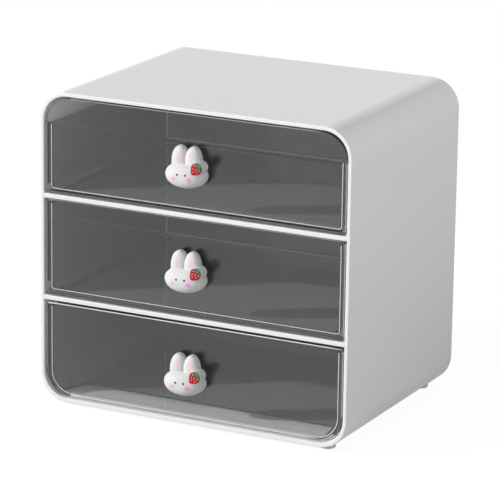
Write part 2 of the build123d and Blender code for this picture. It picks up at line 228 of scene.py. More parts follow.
def new_group(name, inputs, outputs):
    """A shader node group with named sockets; returns its tree, input node and output node.

    An input is a number with its default, or a vector where the default is None."""
    group = bpy.data.node_groups.new(name, "ShaderNodeTree")
    for label, value in inputs.items():
        kind = "NodeSocketVector" if value is None else "NodeSocketFloat"
        socket = group.interface.new_socket(label, in_out="INPUT", socket_type=kind)
        if value is not None:
            socket.default_value = value
    for label in outputs:
        group.interface.new_socket(label, in_out="OUTPUT", socket_type="NodeSocketFloat")
    return group, group.nodes.new("NodeGroupInput"), group.nodes.new("NodeGroupOutput")


skin_group, taken, given = new_group(
    "moulded_skin", {"Place": None, "Grain": 900.0, "Gloss": 0.4, "Spread": 0.1},
    ("Tone", "Roughness", "Height"))
grain = node(skin_group, "ShaderNodeTexNoise", {
    "Vector": taken.outputs["Place"], "Scale": taken.outputs["Grain"], "Detail": 3.0, "Roughness": 0.6})
cooling = node(skin_group, "ShaderNodeTexNoise", {
    "Vector": taken.outputs["Place"], "Scale": 14.0, "Detail": 2.0})
tone = math_node(skin_group, "MULTIPLY_ADD", cooling.outputs[0], TONE_SWING, TONE_LOW)
uneven = math_node(skin_group, "SUBTRACT", cooling.outputs[0], NOISE_MEAN)
rough = math_node(skin_group, "MULTIPLY_ADD", uneven, taken.outputs["Spread"], taken.outputs["Gloss"])
for label, socket in (("Tone", tone), ("Roughness", rough), ("Height", grain.outputs[0])):
    skin_group.links.new(socket, given.inputs[label])


def skin_nodes(tree, place, grain_scale, gloss, spread):
    """Places the moulded skin in a material and returns its group node."""
    made = node(tree, "ShaderNodeGroup", node_tree=skin_group)
    tree.links.new(place, made.inputs["Place"])
    for label, value in (("Grain", grain_scale), ("Gloss", gloss), ("Spread", spread)):
        made.inputs[label].default_value = value
    return made


print("skin:", len(skin_group.nodes), "nodes in", skin_group.name)

# %% [markdown]
# ## Opaque finishes
# The white parts and the steel screws share one recipe: the skin changes the colour a little, the
# gloss a little more, and its grain goes into the bump. Each finish could be built alone, but with
# one function they differ only in their values.

# %% Finish the opaque parts
PLASTIC_IOR, BUMP_DEPTH = 1.46, 1.0 * MM
# A Mix node has one set of sockets per data type; these are the numbers of those for colours.
MIX_SHARE, MIX_FIRST, MIX_SECOND, MIX_RESULT = 0, 6, 7, 2


def mixed(tree, share, first, second, blend_type="MIX"):
    """Two colours through one Mix node, by the share of the second; returns the colour."""
    mix = node(tree, "ShaderNodeMix", {MIX_SHARE: share, MIX_FIRST: first, MIX_SECOND: second},
               data_type="RGBA", blend_type=blend_type)
    return mix.outputs[MIX_RESULT]


def tinted(tree, colour, tone):
    """A plain colour times the skin's slow change of tone."""
    return mixed(tree, 1.0, colour, tone, "MULTIPLY")


def moulded(name, colour, grain_scale=900.0, gloss=0.42, spread=0.12, bump=0.012, ior=PLASTIC_IOR,
            metallic=0.0):
    """An opaque moulded finish: its colour, with grain in the bump and slow changes in the gloss."""
    material, tree = new_material(name)
    place = node(tree, "ShaderNodeTexCoord").outputs["Object"]
    skin = skin_nodes(tree, place, grain_scale, gloss, spread)
    raised = node(tree, "ShaderNodeBump", {
        "Height": skin.outputs["Height"], "Strength": bump, "Distance": BUMP_DEPTH})
    face = node(tree, "ShaderNodeBsdfPrincipled", {
        "Base Color": tinted(tree, colour, skin.outputs["Tone"]), "Roughness": skin.outputs["Roughness"],
        "Normal": raised.outputs[0], "IOR": ior, "Metallic": metallic})
    node(tree, "ShaderNodeOutputMaterial", {0: face.outputs[0]})
    return material


def dress(names, material):
    """Gives CAD nodes a finish by their material slots."""
    for name in names:
        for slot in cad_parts[name].material_slots:
            slot.material = material


case_white = moulded("case_white", grey(0.80))
dress(("outer_case", "back_panel", "lower_shelf", "upper_shelf"), case_white)
foot_white = moulded("foot_white", (0.84, 0.84, 0.83, 1.0), grain_scale=500.0, gloss=0.55, spread=0.10,
                     bump=0.03)
feet = ["foot_" + end + "_" + hand for end in ("front", "back") for hand in ("left", "right")]
dress(feet, foot_white)
screw_steel = moulded("screw_steel", (0.62, 0.62, 0.63, 1.0), grain_scale=2500.0, gloss=0.30, spread=0.15,
                      bump=0.02, metallic=1.0)
dress([name + "_knob_screw" for name in DRAWERS], screw_steel)
print("finishes:", case_white.name, foot_white.name, screw_steel.name)

# %% [markdown]
# ## Clear and smoky plastic
# The front panels are a clear plastic and the trays a smoky one. A renderer can bend light through
# them, but a lamp's shadow ray can't bend, so a drawer would be lit only by chance. For shadow rays
# and soft light the plastic is therefore a plain filter, and for all that is seen it is glass.

# %% Cast the see-through plastics
CLEAR_IOR, CLEAR_GRAIN = 1.49, 60.0


def see_through(name, tint, filter_tint, gloss, spread):
    """Glass that the camera sees through, and a tinted filter for lamps and soft light."""
    material, tree = new_material(name)
    place = node(tree, "ShaderNodeTexCoord").outputs["Object"]
    skin = skin_nodes(tree, place, CLEAR_GRAIN, gloss, spread)
    face = node(tree, "ShaderNodeBsdfPrincipled", {
        "Base Color": tinted(tree, tint, skin.outputs["Tone"]), "Roughness": skin.outputs["Roughness"],
        "IOR": CLEAR_IOR, "Transmission Weight": 1.0})
    filtered = node(tree, "ShaderNodeBsdfTransparent", {"Color": filter_tint})
    path = node(tree, "ShaderNodeLightPath")
    unseen = math_node(tree, "MAXIMUM", path.outputs["Is Shadow Ray"], path.outputs["Is Diffuse Ray"])
    both = node(tree, "ShaderNodeMixShader", {0: unseen, 1: face.outputs[0], 2: filtered.outputs[0]})
    node(tree, "ShaderNodeOutputMaterial", {0: both.outputs[0]})
    return material


panel_clear = see_through("panel_clear", tint=(0.98, 0.982, 0.982, 1.0), filter_tint=grey(0.98),
                          gloss=0.010, spread=0.010)
tray_smoke = see_through("tray_smoke", tint=(0.47, 0.47, 0.472, 1.0), filter_tint=(0.72, 0.72, 0.722, 1.0),
                         gloss=0.020, spread=0.020)
dress([name + "_front_panel" for name in DRAWERS], panel_clear)
dress([name + "_tray" for name in DRAWERS], tray_smoke)
print("see-through finishes:", panel_clear.name, tray_smoke.name)

# %% [markdown]
# ## Outlines as fields
# The small rounded pieces have outlines that no single circle or ellipse gives. A field is a number
# at every place, negative inside the outline, and fields can be joined softly. The outline itself is
# then found along rays from a point inside, by halving the stretch where the sign changes.

# %% Trace an outline
TURNS, HALVINGS = 288, 40


def oval(x, z, half_width, half_height, power):
    """How far out a point lies in a rounded oval: 0 in the middle, 1 on the rim."""
    return (np.abs(x / half_width) ** power + np.abs(z / half_height) ** power) ** (1 / power)


def smooth_least(parts, blend):
    """The least of several fields with soft joins: -blend * log(sum of exp(-field / blend))."""
    return -blend * np.log(sum(np.exp(-part / blend) for part in parts))


def outline_radius(inside, centre, reach):
    """Distance from the centre to the outline for each angle, found by halving.

    inside(x, z) is negative within the outline, and reach is a distance that is surely outside."""
    angle = np.linspace(0.0, 2 * np.pi, TURNS, endpoint=False)
    near, far = np.zeros(TURNS), np.full(TURNS, reach)
    for _ in range(HALVINGS):
        middle = (near + far) / 2
        within = inside(centre[0] + middle * np.cos(angle), centre[1] + middle * np.sin(angle)) < 0
        near, far = np.where(within, middle, near), np.where(within, far, middle)
    return angle, near


print("outlines:", TURNS, "rays, each halved", HALVINGS, "times")

# %% [markdown]
# ## One surface for every small cushion shape
# The knob, the disc behind the berry, the berry and its leaves are all little cushions: an outline,
# a crowned front and a flat back. Blocks with bevels would look machined, so each is one polar
# surface: an angle goes round the outline, and a second parameter runs from the middle of the front,
# over the edge, down the side and back to the middle behind.

# %% Write the cushion surface
RINGS, SIDE_RINGS, BACK_RINGS = 40, 16, 4


def cushion(inside, height, centre, reach, back_round):
    """A closed polar surface over an outline, in mm: x across, z up, y the height towards the viewer.

    Front: radius = outline * sin(90 deg * u), height as given there, so rings crowd at the edge.
    Side: the height falls to zero, and over its last part, back_round high, the outline draws in on a
    quarter circle: inset = back_round - sqrt(back_round^2 - (back_round - height)^2).
    Back: the radius falls to zero at height zero."""
    angle, radius = outline_radius(inside, centre, reach)
    share = np.sin(np.linspace(0.0, np.pi / 2, RINGS + 1))[1:, None]
    front_x = centre[0] + share * radius * np.cos(angle)
    front_z = centre[1] + share * radius * np.sin(angle)
    front = np.stack([front_x, height(front_x, front_z), front_z], -1)
    fall = np.sin(np.linspace(0.0, np.pi / 2, SIDE_RINGS + 1))[1:, None]
    lift = front[-1, :, 1] * (1 - fall)
    below = np.clip(back_round - lift, 0.0, None)
    drawn = radius - back_round + np.sqrt(back_round ** 2 - below ** 2)
    side = np.stack([centre[0] + drawn * np.cos(angle), lift, centre[1] + drawn * np.sin(angle)], -1)
    shrink = np.linspace(1.0, 0.0, BACK_RINGS + 2)[1:-1, None]
    back = np.stack([centre[0] + shrink * drawn[-1] * np.cos(angle), 0 * shrink * angle,
                     centre[1] + shrink * drawn[-1] * np.sin(angle)], -1)
    rings = np.concatenate([front, side, back])
    poles = np.array([[centre[0], float(height(*np.array(centre)[:, None])[0]), centre[1]],
                      [centre[0], 0.0, centre[1]]])
    return closed_rings(rings, poles)


def closed_rings(rings, poles):
    """Quads between neighbouring rings, and a fan of triangles to the pole at each end."""
    count, turns = rings.shape[:2]
    number = 1 + np.arange(count * turns).reshape(count, turns)
    turned = np.roll(number, -1, axis=1)
    quads = np.stack([number[:-1], turned[:-1], turned[1:], number[1:]], -1).reshape(-1, 4)
    first = np.stack([0 * number[0], turned[0], number[0]], -1)
    last = np.stack([0 * number[-1] + count * turns + 1, number[-1], turned[-1]], -1)
    points = np.concatenate([poles[:1], rings.reshape(-1, 3), poles[1:]])
    return points, quads, np.concatenate([first, last])


print("cushion: a grid of", TURNS, "by", RINGS + SIDE_RINGS + BACK_RINGS)

# %% [markdown]
# ## From a surface to a piece
# A finished piece keeps its place in its mesh and its object at the origin. The object could be
# moved instead, but then a pattern on its coordinates would slide when the model is exported.

# %% Place a cushion
FORWARDS = np.array([1.0, -1.0, 1.0])


def smooth_mesh(name, points, quads, fans):
    """A smooth-shaded mesh from points in mm, with its faces turned to point outwards."""
    mesh = bpy.data.meshes.new(name)
    mesh.from_pydata((points * MM).tolist(), [], quads[:, ::-1].tolist() + fans[:, ::-1].tolist())
    mesh.polygons.foreach_set("use_smooth", np.ones(len(mesh.polygons), bool))
    return mesh


def cushion_object(name, surface, shift, material, turn=0.0):
    """Puts a cushion in the scene: leaned by turn about its own origin, then shifted, in mm.

    The unplaced points are kept as the attribute own_mm, so a finish can follow the piece."""
    points, quads, fans = surface
    cos, sin = math.cos(turn), math.sin(turn)
    lean = np.array([[cos, 0.0, sin], [0.0, 1.0, 0.0], [-sin, 0.0, cos]])
    mesh = smooth_mesh(name, points @ lean.T * FORWARDS + np.array(shift), quads, fans)
    own = mesh.attributes.new("own_mm", "FLOAT_VECTOR", "POINT")
    own.data.foreach_set("vector", points.astype(np.float32).ravel())
    return place_in_scene(name, mesh, material)


print("cushion height runs along Y times", FORWARDS[1])

# %% [markdown]
# ## The knob
# The knob is a little animal head in soft white resin: a wide oval head with two upright ears. From
# the front it is three ovals joined softly, and each has its own crown, so the ears sit a little
# behind the face. A ray from a point between head and ears meets the outline only once, which is
# what the polar surface needs.

# %% Model the knob
# Lengths are in mm. An ear is (across, rise, lean in radians), and a crown (depth, rim share, power).
HEAD_HALF, EAR_HALF = (15.4, 9.0), (5.8, 10.8)
EARS = ((-5.3, 9.5, 0.03), (5.3, 9.5, -0.03))
HEAD_CROWN, EAR_CROWN, CROWN_FALL = (14.4, 0.19, 2.6), (9.2, 0.52, 2.3), 9.0
HEAD_TAPER, PLAN_POWER, KNOB_BLEND = 0.06, 2.1, 0.35
KNOB_CENTRE, KNOB_REACH, KNOB_BACK = (0.0, 4.5), 40.0, 2.6
HEAD_LIFT = 0.6


def ear_oval(x, z, ear):
    """The ear's oval, leaned by a small angle about its own middle, towards the other ear."""
    across, rise, lean = ear
    dx, dz = x - across, z - rise
    side = dx * np.cos(lean) - dz * np.sin(lean)
    reach = dx * np.sin(lean) + dz * np.cos(lean)
    return oval(side, reach, *EAR_HALF, PLAN_POWER)


def head_oval(x, z):
    """The head's oval, wider above than below: x is divided by 1 + taper * share of the half height."""
    return oval(x / (1 + HEAD_TAPER * z / HEAD_HALF[1]), z, *HEAD_HALF, PLAN_POWER)


def knob_inside(x, z):
    """Negative inside the head or an ear: each oval's rim distance in mm, joined softly."""
    fields = [(head_oval(x, z) - 1) * HEAD_HALF[1]]
    fields += [(ear_oval(x, z, ear) - 1) * EAR_HALF[0] for ear in EARS]
    return smooth_least(fields, KNOB_BLEND)


def crown(share, depth, rim, power):
    """Height over an oval: from rim * depth at its edge to depth in the middle, as a rounded box.

    Past the edge it falls by CROWN_FALL for each further share, so a neighbour's crown takes over."""
    held = np.clip(share, 0.0, 1.0)
    raised = depth * (rim + (1 - rim) * (1 - held ** power) ** (1 / power))
    return raised - CROWN_FALL * np.clip(share - 1, 0.0, None)


def knob_height(x, z):
    """The highest of the three crowns, with soft valleys between them."""
    crowns = [crown(head_oval(x, z), *HEAD_CROWN)]
    crowns += [crown(ear_oval(x, z, ear), *EAR_CROWN) for ear in EARS]
    return -smooth_least([-height for height in crowns], KNOB_BLEND)


def knob_origin(name):
    """The middle of the head on the panel's face, in mm, from the CAD knob's box and a small lift."""
    low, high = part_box(name + "_knob")
    return np.array([low.x / MM + HEAD_HALF[0], high.y / MM, low.z / MM + HEAD_HALF[1] + HEAD_LIFT])


knob_surface = cushion(knob_inside, knob_height, KNOB_CENTRE, KNOB_REACH, KNOB_BACK)
print("knob: spans in mm", np.round(np.ptp(knob_surface[0], axis=0), 1))

# %% [markdown]
# ## Printed spots
# Face and seeds are printed on the resin. They could be separate thin pieces, but print has no
# thickness, so each is a soft oval spot in the colour. The spot is a node group: it reads the piece's
# own coordinates, and the same group makes a hard dot or a soft blush.

# %% Print soft spots
SPOT = {"Across": 0.0, "Rise": 0.0, "Half width": 1.0, "Half height": 1.0, "Softness": 0.2}
PRINT_SPREAD = 0.12

spot_group, taken, given = new_group("printed_spot", {"Place": None, **SPOT}, ("Mask",))
apart = node(spot_group, "ShaderNodeSeparateXYZ", {0: taken.outputs["Place"]})
squares = []
for axis, middle, half in (("X", "Across", "Half width"), ("Z", "Rise", "Half height")):
    offset = math_node(spot_group, "SUBTRACT", apart.outputs[axis], taken.outputs[middle])
    share = math_node(spot_group, "DIVIDE", offset, taken.outputs[half])
    squares.append(math_node(spot_group, "MULTIPLY", share, share))
edge = node(spot_group, "ShaderNodeMapRange", {
    "Value": math_node(spot_group, "SQRT", math_node(spot_group, "ADD", *squares)),
    "From Min": math_node(spot_group, "ADD", 1.0, taken.outputs["Softness"]),
    "From Max": math_node(spot_group, "SUBTRACT", 1.0, taken.outputs["Softness"])},
    interpolation_type="SMOOTHSTEP")
spot_group.links.new(edge.outputs[0], given.inputs["Mask"])


def printed(tree, place, below, colour, strength, spot):
    """Lays one printed spot over a colour: strength times the spot's mask."""
    made = node(tree, "ShaderNodeGroup", node_tree=spot_group)
    tree.links.new(place, made.inputs["Place"])
    for label, value in zip(SPOT, spot):
        made.inputs[label].default_value = value
    return mixed(tree, math_node(tree, "MULTIPLY", made.outputs["Mask"], strength), below, colour)


def printed_skin(tree, colour, prints, grain_scale, gloss):
    """A moulded skin with prints over its colour; returns that colour and the skin's group node.

    Both read own_mm, the piece's own coordinates in mm as its mesh keeps them."""
    place = node(tree, "ShaderNodeAttribute", attribute_name="own_mm").outputs["Vector"]
    skin = skin_nodes(tree, place, grain_scale, gloss, PRINT_SPREAD)
    colour = tinted(tree, colour, skin.outputs["Tone"])
    for paint, strength, spot in prints:
        colour = printed(tree, place, colour, paint, strength, spot)
    return colour, skin


print("spots:", len(spot_group.nodes), "nodes in", spot_group.name)

# %% [markdown]
# ## The painted face
# The face has two dots for eyes, two soft pink cheeks and a pink patch in each ear. The resin lets
# a little light in, which softens its shading, so the finish has some subsurface scattering.

# %% Paint the knob
EAR_PINK, EYE_BLACK = (0.84, 0.52, 0.68, 1.0), grey(0.010)
LEFT_CHEEK, RIGHT_CHEEK = (0.86, 0.34, 0.60, 1.0), (0.86, 0.28, 0.56, 1.0)
# Each print is its colour, its strength and its spot: the values of SPOT, in mm but for the softness.
PRINTS = (
    (EAR_PINK, 0.60, (-4.3, 13.0, 1.45, 4.0, 0.25)),
    (EAR_PINK, 0.60, (5.5, 13.4, 1.45, 4.0, 0.25)),
    (LEFT_CHEEK, 0.75, (-5.2, -1.1, 1.4, 1.5, 0.80)),
    (RIGHT_CHEEK, 0.88, (6.7, -1.2, 1.75, 1.65, 0.80)),
    (EYE_BLACK, 1.0, (-2.5, 1.9, 0.76, 0.76, 0.20)),
    (EYE_BLACK, 1.0, (3.7, 2.0, 0.76, 0.76, 0.20)),
)
RESIN_IOR = 1.30
knob_white, tree = new_material("knob_white")
colour, skin = printed_skin(tree, grey(0.70), PRINTS, grain_scale=2.2, gloss=0.62)
raised = node(tree, "ShaderNodeBump", {
    "Height": skin.outputs["Height"], "Strength": 0.012, "Distance": BUMP_DEPTH})
face = node(tree, "ShaderNodeBsdfPrincipled", {
    "Base Color": colour, "Roughness": skin.outputs["Roughness"], "Normal": raised.outputs[0],
    "IOR": RESIN_IOR, "Subsurface Weight": 0.5, "Subsurface Radius": (1.0, 1.0, 1.0),
    "Subsurface Scale": 3.0 * MM})
node(tree, "ShaderNodeOutputMaterial", {0: face.outputs[0]})

for name in DRAWERS:
    knob = cushion_object(name + "_head", knob_surface, knob_origin(name), knob_white)
    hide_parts(name + "_knob")
    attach(knob, name + "_drawer")
print("knobs:", len(DRAWERS), "with", len(PRINTS), "printed spots each")

# %% [markdown]
# ## The berry and its leaves
# On one side of the head a red berry with green leaves sits on a round white disc. The berry is the
# hull of a large and a small circle, which is the classic teardrop, and the leaves are three ovals
# that fan out from its top. All three pieces use the cushion surface, flatter than the knob.

# %% Model the berry
DISC_PLACE, DISC_FRONT, DISC_RADIUS, DISC_THICK = (11.6, 7.2), 13.0, 4.4, 9.6
BERRY_BIG, BERRY_SMALL, BERRY_LONG, BERRY_RISE = 4.2, 1.8, 3.8, 0.3
LEAF_HALF, LEAF_BASE, LEAF_HANG = (1.15, 2.1), 3.8, 1.5
LEAF_FAN, LEAF_POWER, LEAF_BLEND = math.radians(62.0), 1.6, 0.12
BERRY_CENTRE, LEAF_CENTRE, SMALL_REACH = (0, -0.4), (0, LEAF_BASE - 0.6), 9.0


def teardrop(x, z):
    """Distance to the hull of a big circle above and a small circle below, negative inside."""
    across, drop = np.abs(x), BERRY_RISE - z
    tilt = (BERRY_BIG - BERRY_SMALL) / BERRY_LONG
    flank = math.sqrt(1 - tilt ** 2)
    along = -tilt * across + flank * drop
    big = np.hypot(across, drop) - BERRY_BIG
    small = np.hypot(across, drop - BERRY_LONG) - BERRY_SMALL
    between = flank * across + tilt * drop - BERRY_BIG
    return np.where(along < 0, big, np.where(along > flank * BERRY_LONG, small, between))


def leaf_field(x, z):
    """The nearest of three leaf ovals that fan out and down from the top of the berry."""
    fields = []
    for turn in (-LEAF_FAN, 0.0, LEAF_FAN):
        dz = z - LEAF_BASE
        side = x * math.cos(turn) + dz * math.sin(turn)
        reach = dz * math.cos(turn) - x * math.sin(turn)
        fields.append((oval(side, reach + LEAF_HANG, *LEAF_HALF, LEAF_POWER) - 1) * LEAF_HALF[0])
    return smooth_least(fields, LEAF_BLEND)


def disc_field(x, z):
    """Distance to the disc's rim."""
    return np.hypot(x, z) - DISC_RADIUS


def domed(field, centre, thick, rim, round_width, back_round):
    """A cushion over a field's outline with a quarter round of round_width at its edge, then flat.

    With s the distance in from the rim over round_width, at most 1:
    height = thick * (rim + (1 - rim) * sqrt(1 - (1 - s)^2))."""
    def height(x, z):
        depth_in = np.clip(-field(x, z) / round_width, 0.0, 1.0)
        return thick * (rim + (1 - rim) * np.sqrt(1 - (1 - depth_in) ** 2))

    return cushion(field, height, centre, SMALL_REACH, back_round)


disc_surface = domed(disc_field, (0, 0), thick=DISC_THICK, rim=0.9, round_width=0.7, back_round=0.6)
berry_surface = domed(teardrop, BERRY_CENTRE, thick=0.95, rim=0.15, round_width=2.6, back_round=0.05)
leaf_surface = domed(leaf_field, LEAF_CENTRE, thick=0.45, rim=0.3, round_width=0.7, back_round=0.02)
for label, surface in (("disc", disc_surface), ("berry", berry_surface), ("leaves", leaf_surface)):
    print(label, "spans in mm", np.round(np.ptp(surface[0], axis=0), 1))

# %% [markdown]
# ## Berry red and leaf green
# The berry is a satin red with pale seeds in loose rows. A cell texture would cut seeds off at the
# rim, so each seed is one more printed spot at its own place. The leaves have a lighter middle.

# %% Paint the berry
SEEDS = ((-2.2, 1.3), (-1.6, -1.0), (0.4, -0.1), (-0.2, -2.7), (2.1, -0.9), (2.5, 1.5), (0.5, 2.2))
SEED_PINK, SEED_SHAPE = (0.80, 0.42, 0.44, 1.0), (0.36, 0.48, 0.35)
LEAF_LIGHT, LEAF_SPOT = (0.040, 0.32, 0.11, 1.0), (0.0, LEAF_BASE + 0.2, 1.2, 1.2, 0.6)
SEED_STRENGTH, LEAF_STRENGTH, LEAF_IOR = 1.0, 0.6, 1.5


def painted(name, colour, prints, grain_scale, gloss, ior):
    """A painted finish without bump: one colour with its prints over it."""
    material, tree = new_material(name)
    colour, skin = printed_skin(tree, colour, prints, grain_scale, gloss)
    face = node(tree, "ShaderNodeBsdfPrincipled", {
        "Base Color": colour, "Roughness": skin.outputs["Roughness"], "IOR": ior})
    node(tree, "ShaderNodeOutputMaterial", {0: face.outputs[0]})
    return material


berry_red = painted("berry_red", (0.40, 0.014, 0.024, 1.0),
                    [(SEED_PINK, SEED_STRENGTH, (*seed, *SEED_SHAPE)) for seed in SEEDS],
                    grain_scale=1.4, gloss=0.50, ior=RESIN_IOR)
leaf_green = painted("leaf_green", (0.004, 0.14, 0.045, 1.0), [(LEAF_LIGHT, LEAF_STRENGTH, LEAF_SPOT)],
                     grain_scale=2.0, gloss=0.40, ior=LEAF_IOR)
disc_white = moulded("disc_white", grey(0.72), grain_scale=2200.0)
print("berry finishes:", berry_red.name, leaf_green.name, disc_white.name)

# %% [markdown]
# ## The berry in its place
# The disc is set into the side of the head, clear of the panel. The berry lies on its front, leaned
# to one side, and the leaves lie on the berry. These could be placed from the CAD pieces they stand
# for, but places counted from the head keep the berry and the knob together.

# %% Place the berries
BERRY_LEAN, BERRY_SINK, LEAF_RAISE = math.radians(41.0), 0.1, 0.45
BACKWARDS = np.array([0.0, 1.0, 0.0])
for name in DRAWERS:
    middle = knob_origin(name) + np.array([DISC_PLACE[0], -DISC_FRONT, DISC_PLACE[1]])
    disc = cushion_object(name + "_berry_disc", disc_surface, middle + DISC_THICK * BACKWARDS, disc_white)
    berry = cushion_object(name + "_berry_fruit", berry_surface, middle + BERRY_SINK * BACKWARDS,
                           berry_red, BERRY_LEAN)
    leaves = cushion_object(name + "_berry_crown", leaf_surface, middle - LEAF_RAISE * BACKWARDS,
                            leaf_green, BERRY_LEAN)
    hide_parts(name + "_berry")
    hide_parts(name + "_berry_leaves")
    for piece, slot in ((disc, "knob_white"), (berry, "berry_red"), (leaves, "leaf_green")):
        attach(piece, name + "_drawer")
print("berries:", len(DRAWERS))

# %% [markdown]
# ## Paths round a tray
# What is left are thin lines along edges and joints; nearly all are painted highlights or painted
# shade. Most follow a straight path or a U round a tray. They could be drawn as curve objects, but as
# points they can be cut, mirrored and measured.

# %% Trace the lines
TRAY_WALL = 1.6
RUNNER_HEIGHT = {"top": 1.9, "middle": 3.6, "bottom": 1.8}
WALL_POINTS, CORNER_POINTS, FLOOR_POINTS, LINE_POINTS = 12, 24, 24, 24
MIRROR = np.array([-1.0, 1.0])


def tray_box(name):
    """The tray's box in mm, with its lower corner on the floor's underside instead of the runners'."""
    low, high = (np.array(corner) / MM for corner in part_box(name + "_tray"))
    return low + np.array([0.0, 0.0, RUNNER_HEIGHT[name]]), high


def straight(first, last):
    """Evenly spaced points from one place to another."""
    return np.linspace(first, last, LINE_POINTS)


def level_line(half_length, y, z):
    """Points from left to right at one depth and height, as far to each side of the middle."""
    return straight((-half_length, y, z), (half_length, y, z))


def u_path(low, corner, top, y):
    """Points down one wall, round a quarter circle, along the floor and up the other wall, at depth y."""
    turn = np.linspace(0.0, np.pi / 2, CORNER_POINTS)
    bend = np.stack([low[0] + corner - corner * np.cos(turn), low[1] + corner - corner * np.sin(turn)], -1)
    down = np.linspace(top, low[1] + corner, WALL_POINTS, endpoint=False)
    wall = np.stack([np.full(WALL_POINTS, low[0]), down], -1)
    inwards = np.linspace(low[0] + corner, 0.0, FLOOR_POINTS, endpoint=False)[1:]
    ground = np.stack([inwards, np.full(FLOOR_POINTS - 1, low[1])], -1)
    half = np.concatenate([wall, bend, ground])
    flat = np.concatenate([half, np.array([[0.0, low[1]]]), (half * MIRROR)[::-1]])
    return np.insert(flat, 1, y, axis=1)


print("trays in mm:", [np.round(high - low, 1).tolist() for low, high in map(tray_box, DRAWERS)])

# %% [markdown]
# ## Beads along a path
# Every line is one shape: a flat oval profile carried along its path. A curve object with a bevel
# would do it too, but writing the rings keeps the mesh closed and even.

# %% Write the bead surface
PROFILE_POINTS = 12
LINE_GRAIN, LINE_SPREAD, LINE_BUMP = 1500.0, 0.08, 0.01


def line_finish(name, value, gloss=0.25, ior=PLASTIC_IOR):
    """A neutral grey finish for a thin line, with a finer grain than the case; most lines use it to paint
    a highlight or shade.
    """
    return moulded(name, grey(value), LINE_GRAIN, gloss, LINE_SPREAD, LINE_BUMP, ior)


def bead(name, path, half, material, flat):
    """A flat oval profile carried along a path in mm; flat is the direction of its second half width.

    Each ring is the path's point + half[0] * cos * side + half[1] * sin * flat, with side square to
    both the path and flat."""
    flat = np.broadcast_to(np.array(flat), path.shape)
    side = np.cross(np.gradient(path, axis=0), flat)
    side /= np.linalg.norm(side, axis=1)[:, None]
    turn = np.linspace(0.0, 2 * np.pi, PROFILE_POINTS, endpoint=False)[None, :, None]
    rings = path[:, None] + half[0] * np.cos(turn) * side[:, None] + half[1] * np.sin(turn) * flat[:, None]
    return place_in_scene(name, smooth_mesh(name, *closed_rings(rings, path[[0, -1]])), material)


def add_line(name, drawer, path, half, material, flat=(0.0, 1.0, 0.0)):
    """A bead that rides with its drawer, with the material it is given."""
    made = bead(name, path, half, material, flat)
    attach(made, drawer + "_drawer")


print("beads: profiles of", PROFILE_POINTS, "points")

# %% [markdown]
# ## The painted highlight along the bonded seam
# Each tray is glued to the back of its panel along the front ends of its walls and floor. Those ends
# catch the light through the panel, and a pale bead in the shape of a U, down one wall, along the floor
# and up the other, paints that light in: a painted highlight. The bottom drawer has a second pale
# line, straight along the foot of its panel, a painted highlight too.

# %% Run the seam
SEAM_HALF, SEAM_AHEAD = (0.42, 0.20), 0.1
SEAM_CORNER = {"top": 1.8, "middle": 1.8, "bottom": 15.8}
SEAM_RISE = {"top": 1.0, "middle": 0.1, "bottom": 0.4}
FOOT_LINE_HALF, FOOT_LINE_REACH = (0.60, 0.25), 97.0
FOOT_LINE_AHEAD, FOOT_LINE_RISE = 0.5, 0.1
# Both pale finishes paint highlights: along the U of the seam and along the panel's foot.
seam_highlight_pale = line_finish("seam_highlight_pale", 0.52)
foot_highlight_pale = line_finish("foot_highlight_pale", 0.60)
for name in DRAWERS:
    low, high = tray_box(name)
    corner_place = (low[0] + TRAY_WALL / 2, low[2] + TRAY_WALL / 2 + SEAM_RISE[name])
    depth = low[1] - SEAM_HALF[1] - SEAM_AHEAD
    path = u_path(corner_place, SEAM_CORNER[name], high[2] - TRAY_WALL / 2, depth)
    add_line(name + "_seam", name, path, SEAM_HALF, seam_highlight_pale)
low = tray_box("bottom")[0]
foot_line = level_line(FOOT_LINE_REACH, low[1] - FOOT_LINE_AHEAD, low[2] + FOOT_LINE_RISE)
add_line("bottom_foot_highlight_line", "bottom", foot_line, FOOT_LINE_HALF, foot_highlight_pale)
print("seams:", len(DRAWERS), "of", len(path), "rings")

# %% [markdown]
# ## The trays' inner corners
# Where the back of a tray meets its walls and floor, the moulded corner catches the light as a thin
# pale line. That highlight is painted: one more pale bead runs along the corner. The bottom tray
# has a wide round corner along its floor, so only its upright corners have one, and its back rim.

# %% Line the inner corners
CORNER_HALF, CORNER_RADIUS = (0.75, 0.75), 1.2
CORNER_INSET, CORNER_AHEAD, CORNER_DROP = 0.2, 1.4, 1.0
CORNER_RISE = {"top": 1.9, "middle": 0.9, "bottom": 0.9}
ROUND_HEIGHT, RIM_SHORT = 17.0, 3.0
# This pale grey is a painted highlight on the inner corners and the back rim.
corner_highlight_grey = line_finish("corner_highlight_grey", 0.72)
for name in DRAWERS:
    low, high = tray_box(name)
    inner = (low[0] + TRAY_WALL + CORNER_INSET, low[2] + TRAY_WALL + CORNER_RISE[name])
    path = u_path(inner, CORNER_RADIUS, high[2] - CORNER_DROP, high[1] - TRAY_WALL - CORNER_AHEAD)
    lines = {"_corner": path}
    if name == "bottom":
        upright = path[path[:, 2] > low[2] + ROUND_HEIGHT]
        lines = {"_corner_left": upright[upright[:, 0] < 0], "_corner_right": upright[upright[:, 0] > 0],
                 "_back_rim_highlight": level_line(high[0] - RIM_SHORT, high[1] - TRAY_WALL / 2, high[2])}
    for label, part in lines.items():
        add_line(name + label, name, part, CORNER_HALF, corner_highlight_grey)
print("inner corners: lines", 2 * CORNER_HALF[0], "mm thick")

# %% [markdown]
# ## The joint of the clear strip
# The front strip of the bottom drawer's floor is clear and belongs to the panel. Behind it the smoky
# floor begins, and its cut edge, wet with cement, shows through the strip as a dark line. Its ends
# climb the tray's round corners: height = centre - sqrt(radius^2 - distance past the flat^2).

